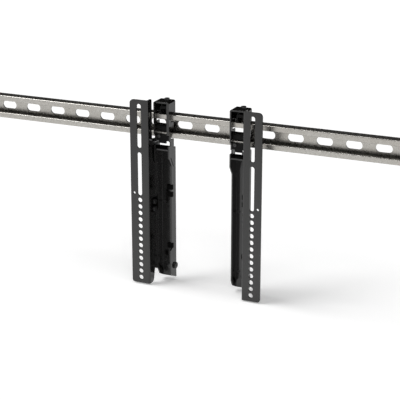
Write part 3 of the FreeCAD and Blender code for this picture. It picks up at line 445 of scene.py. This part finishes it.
class Recipe(Tree):
    """A Geometry Nodes tree with named inputs, which is run once to give a plain mesh."""

    def __init__(self, name):
        super().__init__(bpy.data.node_groups.new(name, "GeometryNodeTree"))
        self.tree.interface.new_socket("Shape", in_out="OUTPUT", socket_type="NodeSocketGeometry")
        self.given = {}

    def ask(self, name, value, kind, unit):
        """A named input, kept with its usual value and unit."""
        socket = self.tree.interface.new_socket(name, in_out="INPUT", socket_type=kind)
        self.given[name] = (socket.identifier, value, unit)
        return Size(self, self.add("NodeGroupInput").outputs[name])

    def size(self, name, millimetres):
        """A length that is given in millimetres and used in metres."""
        return self.ask(name, millimetres, "NodeSocketFloat", MM)

    def count(self, name, number):
        return self.ask(name, number, "NodeSocketInt", 1)

    def vector(self, x=0.0, y=0.0, z=0.0):
        fields = {"X": bare(x), "Y": bare(y), "Z": bare(z)}
        return self.add("ShaderNodeCombineXYZ", fields).outputs[0]

    def pick(self, index, values, kind):
        """The value of the list that the index names."""
        switch = self.add("GeometryNodeIndexSwitch", data_type=kind)
        while len(switch.index_switch_items) < len(values):
            switch.index_switch_items.new()
        self.join(bare(index), switch.inputs[0])
        for place, value in enumerate(values, start=1):
            self.join(bare(value), switch.inputs[place])
        return switch.outputs[0]

    def outline(self, corners, radii, steps):
        """A closed outline in the XY plane, each corner rounded by its own radius in steps."""
        line = self.add("GeometryNodeMeshLine", {"Count": len(corners)}).outputs[0]
        line = self.add("GeometryNodeMeshToCurve", {"Mesh": line}).outputs[0]
        index = self.add("GeometryNodeInputIndex").outputs[0]
        place = self.pick(index, [self.vector(*corner) for corner in corners], "VECTOR")
        radius = self.pick(index, radii, "FLOAT")
        fields = {"Geometry": line, "Position": place}
        line = self.add("GeometryNodeSetPosition", fields).outputs[0]
        fields = {"Geometry": line, "Cyclic": True}
        ring = self.add("GeometryNodeSetSplineCyclic", fields).outputs[0]
        fields = {"Curve": ring, "Count": steps, "Radius": radius, "Limit Radius": True}
        return self.add("GeometryNodeFilletCurve", fields, mode="POLY").outputs[0]

    def slab(self, ring, thickness):
        """A solid slab with this outline, from Z = 0 up."""
        face = self.add("GeometryNodeFillCurve", {"Curve": ring}, mode="NGONS").outputs[0]
        fields = {"Mesh": face, "Offset": self.vector(z=thickness), "Individual": False}
        raised = self.add("GeometryNodeExtrudeMesh", fields, mode="FACES").outputs[0]
        under = self.add("GeometryNodeFlipFaces", {"Mesh": face}).outputs[0]
        return self.welded(self.together(raised, under))

    def together(self, *shapes):
        """Several shapes as one."""
        joined = self.add("GeometryNodeJoinGeometry")
        for shape in shapes:
            self.tree.links.new(shape, joined.inputs[0])
        return joined.outputs[0]

    def welded(self, shape):
        fields = {"Geometry": shape, "Distance": WELD}
        return self.add("GeometryNodeMergeByDistance", fields).outputs[0]

    def placed(self, shape, move, turn):
        fields = {"Geometry": shape, "Translation": move, "Rotation": Euler(turn)}
        return self.add("GeometryNodeTransform", fields).outputs[0]

    def row(self, shape, count, pitch):
        """The shape repeated along X at a pitch, the row's middle at X = 0."""
        first = self.vector(x=pitch * (1.0 - count) / 2.0)
        line = self.add("GeometryNodeMeshLine", {"Count": bare(count), "Start Location": first})
        self.join(self.vector(x=pitch), line.inputs["Offset"])
        fields = {"Points": line.outputs[0], "Instance": shape}
        copies = self.add("GeometryNodeInstanceOnPoints", fields).outputs[0]
        return self.add("GeometryNodeRealizeInstances", {"Geometry": copies}).outputs[0]

    def cut(self, shape, tool):
        """The shape without what the tool takes out of it."""
        node = self.add("GeometryNodeMeshBoolean", operation="DIFFERENCE", solver="EXACT")
        self.tree.links.new(shape, node.inputs["Mesh 1"])
        self.tree.links.new(tool, node.inputs["Mesh 2"])
        return node.outputs["Mesh"]

    def finish(self, shape, material):
        """Ends the tree with a plain mesh in one material."""
        shape = self.add("GeometryNodeRealizeInstances", {"Geometry": shape}).outputs[0]
        fields = {"Geometry": shape, "Material": material}
        shape = self.add("GeometryNodeSetMaterial", fields).outputs[0]
        self.tree.links.new(shape, self.add("NodeGroupOutput").inputs[0])

    def run(self, name, **other_sizes):
        """Runs the recipe and gives a plain mesh. Other sizes replace the named inputs."""
        holder = bpy.data.objects.new(name + "_holder", bpy.data.meshes.new(name + "_holder"))
        bpy.context.scene.collection.objects.link(holder)
        modifier = holder.modifiers.new("recipe", "NODES")
        modifier.node_group = self.tree
        for word, (identifier, value, unit) in self.given.items():
            modifier[identifier] = other_sizes.get(word.replace(" ", "_"), value) * unit
        bpy.context.view_layer.update()
        depsgraph = bpy.context.evaluated_depsgraph_get()
        shown = holder.evaluated_get(depsgraph)
        mesh = bpy.data.meshes.new_from_object(shown, depsgraph=depsgraph)
        bpy.data.objects.remove(holder)
        mesh.name = name
        return mesh


# %% [markdown]
# ## From mesh to piece
# A mesh that is to catch light well needs closed seams, faces that point outwards, and sharp
# edges marked so that flats stay flat beside their rounded corners. The weighted normals give the
# large faces the say over the small ones.

# %% Piece helper
SHARP = math.radians(32)


def tidy_mesh(mesh, place=None):
    """Merges doubles, puts the mesh in its place and marks its sharp edges."""
    work = bmesh.new()
    work.from_mesh(mesh)
    bmesh.ops.remove_doubles(work, verts=work.verts, dist=MICRON)
    if place is not None:
        bmesh.ops.transform(work, matrix=place, verts=work.verts)
    bmesh.ops.recalc_face_normals(work, faces=work.faces)
    for face in work.faces:
        face.smooth = True
    for edge in work.edges:
        edge.smooth = edge.is_manifold and edge.calc_face_angle(0.0) < SHARP
    work.to_mesh(mesh)
    work.free()


def make_piece(name, mesh, node, place=None):
    """A finished piece that takes the place of a CAD node and rides on its body."""
    tidy_mesh(mesh, place)
    mesh.materials.clear()
    mesh.materials.append(FINISHES[slot_names[node]])
    piece = bpy.data.objects.new(name, mesh)
    bpy.context.scene.collection.objects.link(piece)
    weighted = piece.modifiers.new("weighted_normals", "WEIGHTED_NORMAL")
    weighted.keep_sharp = True
    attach(piece, body_of(nodes[node])[0])
    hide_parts(node)
    print("piece:", name, len(mesh.polygons), "faces")
    return piece


# %% [markdown]
# ## The strut rail
# The rail is one long strip of steel, rolled to a C with its lips turned in, and punched with a
# row of slots before it is rolled. That is a rule: one section, one length, one slot repeated at
# a pitch. The recipe draws the section with a radius at each bend, pulls it out along the rail,
# and cuts the row of slots from the web. The bends have eight steps, so the thin bright line
# that a rolled edge catches comes out clean.

# %% Strut rail
BEND_STEPS, SLOT_STEPS = 8, 10
TO_RAIL = (math.radians(90), 0.0, math.radians(90))
TO_WALL = (math.radians(90), 0.0, 0.0)


def rail_recipe():
    rail = Recipe("strut_rail_recipe")
    depth, high = rail.size("Depth", 20.6), rail.size("Height", 41.3) / 2.0
    gauge, bend = rail.size("Gauge", 2.6), rail.size("Bend", 1.3)
    lip, mouth = rail.size("Lip", 7.1), high - rail.size("Lip face", 9.5)
    pitch, slots = rail.size("Slot pitch", 50.8), rail.count("Slots", 18)
    long, across = rail.size("Slot length", 28.6), rail.size("Slot width", 14.3)

    tip = depth - lip
    upper = [(tip, mouth), (depth, mouth), (depth, high), (0.0, high)]
    inner = [(gauge, high - gauge), (depth - gauge, high - gauge)]
    inner += [(depth - gauge, mouth + gauge), (tip, mouth + gauge)]
    lower = [(a, -b) for a, b in reversed(upper)]
    lower_inner = [(a, -b) for a, b in reversed(inner)]
    section = upper + lower + lower_inner + inner
    soft, small = rail.size("Edge", 0.4), rail.size("Inner bend", 0.4)
    radii = [soft] + [bend] * 6 + [soft] * 2 + [small] * 6 + [soft]
    ring = rail.outline([(-a, b) for a, b in section], radii, BEND_STEPS)
    length = pitch * slots
    bar = rail.placed(rail.slab(ring, length), rail.vector(x=length / -2.0), TO_RAIL)

    # A slot's end is round: its corners' radius is a hair under half its width.
    half, reach = long / 2.0, across / 2.0
    corners = [(half, reach), (-half, reach), (-half, -reach), (half, -reach)]
    slot = rail.outline(corners, [reach * 0.999] * 4, SLOT_STEPS)
    punch = rail.slab(slot, gauge * 3.0)
    punch = rail.placed(punch, rail.vector(y=gauge), TO_WALL)
    rail.finish(rail.cut(bar, rail.row(punch, slots, pitch)), galvanised)
    return rail


make_piece("strut_rail_rolled", rail_recipe().run("strut_rail_rolled"), "strut_rail")

# %% [markdown]
# ## Screws
# A screw is turned: every point of it is given by a height, a radius and an angle. The recipe
# lays a flat grid, winds its columns round an axis and reads each row's radius and height from a
# list. The sides of the socket follow a hexagon, the head's side is knurled, and along the shank
# the radius rises and falls once for each turn, which is the thread. Rolling a profile along a
# spiral would make the same ridge, but as loose ribbons that aren't joined to the core.

# %% Winding a grid
STEPS = 48


def wind(recipe, row_count, rule):
    """A grid wound round Z. The rule gives radius and height from row, column and angle."""
    fields = {"Vertices X": STEPS + 1, "Vertices Y": bare(row_count)}
    grid = recipe.add("GeometryNodeMeshGrid", fields).outputs[0]
    index = Size(recipe, recipe.add("GeometryNodeInputIndex").outputs[0])
    column = (index / row_count).floor()
    row = index - column * row_count
    angle = column * (2 * math.pi / STEPS)
    radius, height = rule(row, column, angle)
    place = recipe.vector(radius * angle.cosine(), radius * angle.sine(), height)
    return recipe.add("GeometryNodeSetPosition", {"Geometry": grid, "Position": place}).outputs[0]


def hexagon_share(angle):
    """How far a hexagon's side is from the middle at an angle, set against half its width."""
    sixth = math.pi / 3
    turn = angle % sixth - sixth / 2
    return 1.0 / turn.cosine()


# %% Screw recipe
FADE_ROWS = 4.0


def screw_recipe():
    screw = Recipe("screw_recipe")
    head, tall = screw.size("Head radius", 4.6), screw.size("Head height", 4.0)
    edge, knurl = screw.size("Head edge", 0.5), screw.size("Knurl", 0.12)
    half, deep = screw.size("Socket width", 4.0) / 2.0, screw.size("Socket depth", 1.6)
    shank, neck = screw.size("Shank radius", 3.0), screw.size("Neck", 0.4)
    collar, collar_tall = screw.size("Collar radius", 3.0), screw.size("Collar height", 0.2)
    pitch, length = screw.size("Pitch", 1.0), screw.size("Thread length", 16.8)
    turn_rows = screw.count("Thread rows", 104)
    ridge = screw.size("Thread depth", 0.55)
    core, start = shank - ridge, neck + collar_tall

    profile = [(0.0, tall - deep), (half, tall - deep), (half, tall), (head - edge, tall)]
    for share in (1 / 3, 2 / 3, 1.0):
        slope = share * math.pi / 2
        profile.append((head - edge + edge * math.sin(slope), tall - edge + edge * math.cos(slope)))
    nick = 0.1 * MM
    profile += [(head, nick), (head - nick, 0.0), (shank, 0.0), (shank, -neck)]
    profile += [(collar, -neck), (collar, -start), (core, -start)]
    in_socket, knurled = (1, 2), (6, 7)

    def head_rule(row, column, angle):
        hexagonal = hexagon_share(angle)
        ribbed = 1.0 - knurl / head * (column % 2)
        shares = [1.0] * len(profile)
        for place in in_socket:
            shares[place] = hexagonal
        for place in knurled:
            shares[place] = ribbed
        radius = Size(screw, screw.pick(row, [r for r, z in profile], "FLOAT"))
        height = Size(screw, screw.pick(row, [z for r, z in profile], "FLOAT"))
        return radius * Size(screw, screw.pick(row, shares, "FLOAT")), height

    def thread_rule(row, column, angle):
        # The last row closes the tip, and the ridge fades in and out over FADE_ROWS rows.
        last = turn_rows - 2.0
        depth = (length * (row / last)).at_most(length)
        wave = (depth / pitch + angle / (2 * math.pi)).to_and_fro(0.5) * 2.0
        fade = (row / FADE_ROWS).at_most((last - row) / FADE_ROWS).at_most(1.0).at_least(0.0)
        inside = row.is_below(turn_rows - 1.5)
        return (core + ridge * wave * fade) * inside, -start - depth

    rows = screw.count("Profile rows", len(profile))
    turned = wind(screw, rows, head_rule)
    threaded = wind(screw, turn_rows, thread_rule)
    screw.finish(screw.welded(screw.together(turned, threaded)), black_oxide)
    return screw


screws = screw_recipe()


def aimed(point, axis):
    """Puts a turned piece at a point, its head towards the axis."""
    turn = Vector((0, 0, 1)).rotation_difference(Vector(axis)).to_matrix().to_4x4()
    return Matrix.Translation(point) @ turn


def middle_of(node):
    """The middle of a node's box, and half its size."""
    low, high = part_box(node)
    return (Vector(low) + Vector(high)) / 2, (Vector(high) - Vector(low)) / 2


def add_screw(node, axis, head_height, **sizes):
    """A screw over the CAD node, its head's top where the node's head ends."""
    centre, half = middle_of(node)
    aim = Vector(axis)
    seat = centre + aim * (abs(half.dot(aim)) - head_height * MM)
    mesh = screws.run(node + "_turned", Head_height=head_height, **sizes)
    return make_piece(node + "_turned", mesh, node, aimed(seat, axis))


# %% [markdown]
# ## Where the screws go
# Each hanger has a height screw in its hood, which carries a collar under the sheet so that it
# can't lift out, and a clamp screw in its jaw. Two screws hold the flange pad to each display
# bracket. All are socket screws, so one recipe makes them, with other sizes. The bolt through the
# hanger's wall has a low domed head instead, which is the same profile with a wide edge radius.

# %% Place the screws and bolts
HEIGHT_SCREW = {"Neck": 3.1, "Collar_radius": 4.4, "Collar_height": 1.4, "Thread_length": 16.8}
CLAMP_SCREW = {"Head_radius": 3.2, "Socket_width": 2.5, "Socket_depth": 1.1, "Shank_radius": 2.0,
               "Collar_radius": 2.0, "Pitch": 0.7, "Thread_depth": 0.38, "Thread_length": 3.1,
               "Thread_rows": 28, "Head_edge": 0.4, "Knurl": 0.08}
FLANGE_SCREW = {"Head_radius": 4.5, "Socket_width": 3.0, "Shank_radius": 2.5, "Collar_radius": 2.5,
                "Pitch": 0.8, "Thread_depth": 0.44, "Thread_length": 3.4, "Thread_rows": 28}
SIDE_BOLT = {"Head_radius": 5.8, "Socket_width": 3.6, "Socket_depth": 1.2, "Knurl": 0.0,
             "Thread_length": 5.9, "Thread_rows": 38}

for side in SIDES:
    inward = (1, 0, 0) if side == "left" else (-1, 0, 0)
    add_screw(f"{side}_height_screw", (0, 0, 1), 4.0, **HEIGHT_SCREW)
    add_screw(f"{side}_clamp_screw", (0, -1, 0), 2.2, **CLAMP_SCREW)
    add_screw(f"{side}_upper_flange_screw", inward, 4.0, **FLANGE_SCREW)
    add_screw(f"{side}_lower_flange_screw", inward, 4.0, **FLANGE_SCREW)
    bolt_head, bolt_edge = (3.6, 1.3) if side == "left" else (1.7, 0.8)
    add_screw(f"{side}_side_bolt", (1, 0, 0), bolt_head, Head_edge=bolt_edge, **SIDE_BOLT)

# %% [markdown]
# ## Hexagon nuts
# A nut starts as a hexagon bar and is chamfered by a cone, which leaves a curved line on each
# flat. It is wound as the screws are, and its radius is whichever is smaller: the hexagon's side,
# or the cone.

# %% Nuts
def nut_recipe():
    nut = Recipe("nut_recipe")
    half, tall = nut.size("Width", 10.0) / 2.0, nut.size("Height", 4.0)
    bore, chamfer = nut.size("Bore", 6.2) / 2.0, nut.size("Chamfer", 0.5)
    corner = half * (2.0 / math.sqrt(3))
    cones = [bore, half, corner, corner, half, bore, bore]
    heights = [0.0, 0.0, chamfer, tall - chamfer, tall, tall, 0.0]

    def nut_rule(row, column, angle):
        side = half * hexagon_share(angle)
        cone = Size(nut, nut.pick(row, cones, "FLOAT"))
        return side.at_most(cone), Size(nut, nut.pick(row, heights, "FLOAT"))

    rows = nut.count("Profile rows", len(cones))
    nut.finish(nut.welded(wind(nut, rows, nut_rule)), zinc_plate)
    return nut


nuts = nut_recipe()
for side in SIDES:
    node = f"{side}_side_nut"
    centre, half = middle_of(node)
    seat = centre - Vector((half.x, 0, 0))
    make_piece(node + "_chamfered", nuts.run(node + "_chamfered"), node, aimed(seat, (1, 0, 0)))

# %% [markdown]
# ## Rubber bumpers and moulded plugs
# Rubber and plastic come out of their moulds with round edges, and the bumpers are squeezed over
# the channel's edge. The CAD solids have their sizes and seats. A copy of each solid is merged to
# a clean mesh, its flat faces are joined, and a Bevel modifier rounds every edge.

# %% Soften the moulded pieces
EDGE_STEPS = 4
JOIN_FLAT = math.radians(2)


def soften(node, radius):
    """A rounded copy of a moulded CAD solid, which takes the solid's place."""
    mesh = nodes[node].data.copy()
    mesh.name = node + "_moulded"
    work = bmesh.new()
    work.from_mesh(mesh)
    bmesh.ops.remove_doubles(work, verts=work.verts, dist=WELD)
    bmesh.ops.dissolve_limit(work, angle_limit=JOIN_FLAT, verts=work.verts, edges=work.edges)
    work.to_mesh(mesh)
    work.free()
    piece = make_piece(node + "_moulded", mesh, node)
    bevel = piece.modifiers.new("moulded_edges", "BEVEL")
    bevel.width = radius * MM
    bevel.segments = EDGE_STEPS
    bevel.limit_method = "ANGLE"
    bevel.angle_limit = SHARP
    piece.modifiers.move(1, 0)


EDGE_RADII = {
    "upper_bumper": 1.1, "middle_bumper": 1.1, "lower_bumper": 1.1,
    "upper_plug": 0.35, "lower_plug": 0.35, "flange_pad": 0.45,
}
for side in SIDES:
    for moulding, radius in EDGE_RADII.items():
        soften(f"{side}_{moulding}", radius)

# %% [markdown]
# ## Floor
# The photograph is a catalogue picture: a white floor that runs out of the frame and keeps the
# mount's long soft shadows. One large face is enough. Part of its white is added only for the
# rays that show or mirror it, by Light Path, so the mount is lit by the lamps alone. The mirrored
# part is a painted reflection: a glowing pool in front of the wall, brightest near the mount and
# gone behind the wall, which only reflections see. It makes the sheet metal mirror a bright floor
# in front and a dark room behind.

# %% Floor
FLOOR_HEIGHT = -0.2906
FLOOR_REACH = 60.0
WHITE = (1.0, 1.0, 1.0, 1.0)
WHITE_SHOWN = 0.295
# Strength of the painted reflection: a glow on the floor that only glossy rays see.
PAINTED_REFLECTION_GLOW = 0.60


def make_floor():
    mesh = bpy.data.meshes.new("studio_floor")
    corners = [(-FLOOR_REACH, -FLOOR_REACH), (FLOOR_REACH, -FLOOR_REACH)]
    corners += [(FLOOR_REACH, FLOOR_REACH), (-FLOOR_REACH, FLOOR_REACH)]
    mesh.from_pydata([(x, y, FLOOR_HEIGHT) for x, y in corners], [], [(0, 1, 2, 3)])
    floor = bpy.data.objects.new("studio_floor", mesh)
    bpy.context.scene.collection.objects.link(floor)
    paint = Finish("studio_white")
    path = paint.add("ShaderNodeLightPath").outputs
    depth = paint.add("ShaderNodeSeparateXYZ", {"Vector": paint.place}).outputs["Y"]
    # Painted reflection: the floor glows for glossy rays only, brightest near the mount and cut off
    # behind the wall.
    glow_before_wall = paint.between(depth, -0.12, 0.10, 1.0, 0.0)
    painted_glow_pool = paint.math("MULTIPLY", paint.between(depth, -1.2, -0.15, 0.55, 1.0), glow_before_wall)
    painted_glow_pool = paint.math("MULTIPLY", painted_glow_pool, PAINTED_REFLECTION_GLOW)
    glow_seen_in_reflections = paint.math("MULTIPLY", path["Is Glossy Ray"], painted_glow_pool)
    shown = paint.math("MULTIPLY", path["Is Camera Ray"], WHITE_SHOWN)
    paint.surface(Base_Color=grey(0.84), Roughness=1.0, Specular_IOR_Level=0.0,
                  Emission_Color=WHITE, Emission_Strength=paint.math("MAXIMUM", shown, glow_seen_in_reflections))
    mesh.materials.append(paint.material)
    print("floor at", FLOOR_HEIGHT, "m, reaching", FLOOR_REACH, "m each way")


make_floor()

# %% [markdown]
# ## Light
# The shadows say where the lamps are: a broad main light high on the left, a second one beside
# it, and two weak ones that fill in from the front and the right. Sun lamps with a wide angle
# stand for them, because a sun lights the whole floor alike and it stays white to its far end.
# Their directions and shares of the floor's light were fitted to the shadows. The room is dark,
# which keeps the top faces nearly black. It has only a soft light straight above, so that the
# rail isn't black when it is seen from there, and a pale wall in front.

# %% World and lamps
DARK_ROOM, SOFT_TOP, FRONT_WALL = 0.006, 0.55, 0.22


def make_world():
    world = bpy.data.worlds.new("studio_room")
    world.use_nodes = True
    room = Tree(world.node_tree)
    towards = room.add("ShaderNodeTexCoord").outputs["Generated"]
    axes = room.add("ShaderNodeSeparateXYZ", {"Vector": towards}).outputs
    overhead = room.between(axes["Z"], 0.80, 0.97, DARK_ROOM, SOFT_TOP)
    in_front = room.between(axes["Y"], -0.85, -0.55, FRONT_WALL, 0.0)
    background = room.tree.nodes["Background"].inputs
    background["Color"].default_value = WHITE
    room.join(room.math("ADD", overhead, in_front), background["Strength"])
    bpy.context.scene.world = world
    print("room:", DARK_ROOM, "all round,", SOFT_TOP, "above,", FRONT_WALL, "in front")


def make_sun(name, towards, height_angle, width_angle, floor_light):
    """A broad lamp: where its shadows point on the floor, how high and wide it stands, and its
    share of the floor's light."""
    lamp = bpy.data.lights.new(name, "SUN")
    lamp.angle = math.radians(width_angle)
    rise = math.radians(height_angle)
    lamp.energy = floor_light * math.pi / math.sin(rise)
    holder = bpy.data.objects.new(name, lamp)
    beam = Vector((*towards, 0)).normalized() * math.cos(rise) - Vector((0, 0, math.sin(rise)))
    holder.rotation_euler = beam.to_track_quat("-Z", "Y").to_euler()
    bpy.context.scene.collection.objects.link(holder)
    print("lamp:", name, "strength", round(lamp.energy, 2))


make_world()
make_sun("left_softbox", (0.99, 0.12), 60.0, 24.0, 0.36)
make_sun("left_front_softbox", (0.80, 0.60), 44.0, 26.0, 0.235)
make_sun("front_softbox", (-0.50, 0.87), 40.0, 20.0, 0.09)
make_sun("right_softbox", (-0.87, 0.50), 60.0, 22.0, 0.08)

# %% [markdown]
# ## Camera
# The camera was found by fitting the rail's edges and slots, read as standard strut, to where
# they lie in the photograph. It looks down a little from the right, with a long lens, so that the
# rail runs out of the frame on both sides.

# %% Camera
CAMERA_PLACE = (0.8663, -1.9212, 0.5668)
LOOKING_DOWN, TURNED_LEFT = 18.39, 24.23
FOCAL_LENGTH, SENSOR = 113.70, 36.0


def make_camera():
    lens = bpy.data.cameras.new("catalogue_camera")
    lens.sensor_width = SENSOR
    lens.lens = FOCAL_LENGTH
    camera = bpy.data.objects.new("catalogue_camera", lens)
    camera.location = CAMERA_PLACE
    turns = (90 - LOOKING_DOWN, 0.0, TURNED_LEFT)
    camera.rotation_euler = [math.radians(turn) for turn in turns]
    bpy.context.scene.collection.objects.link(camera)
    bpy.context.scene.camera = camera
    print("camera:", FOCAL_LENGTH, "mm lens, looking down", LOOKING_DOWN, "degrees")


make_camera()
bpy.context.scene.view_settings.view_transform = "Standard"
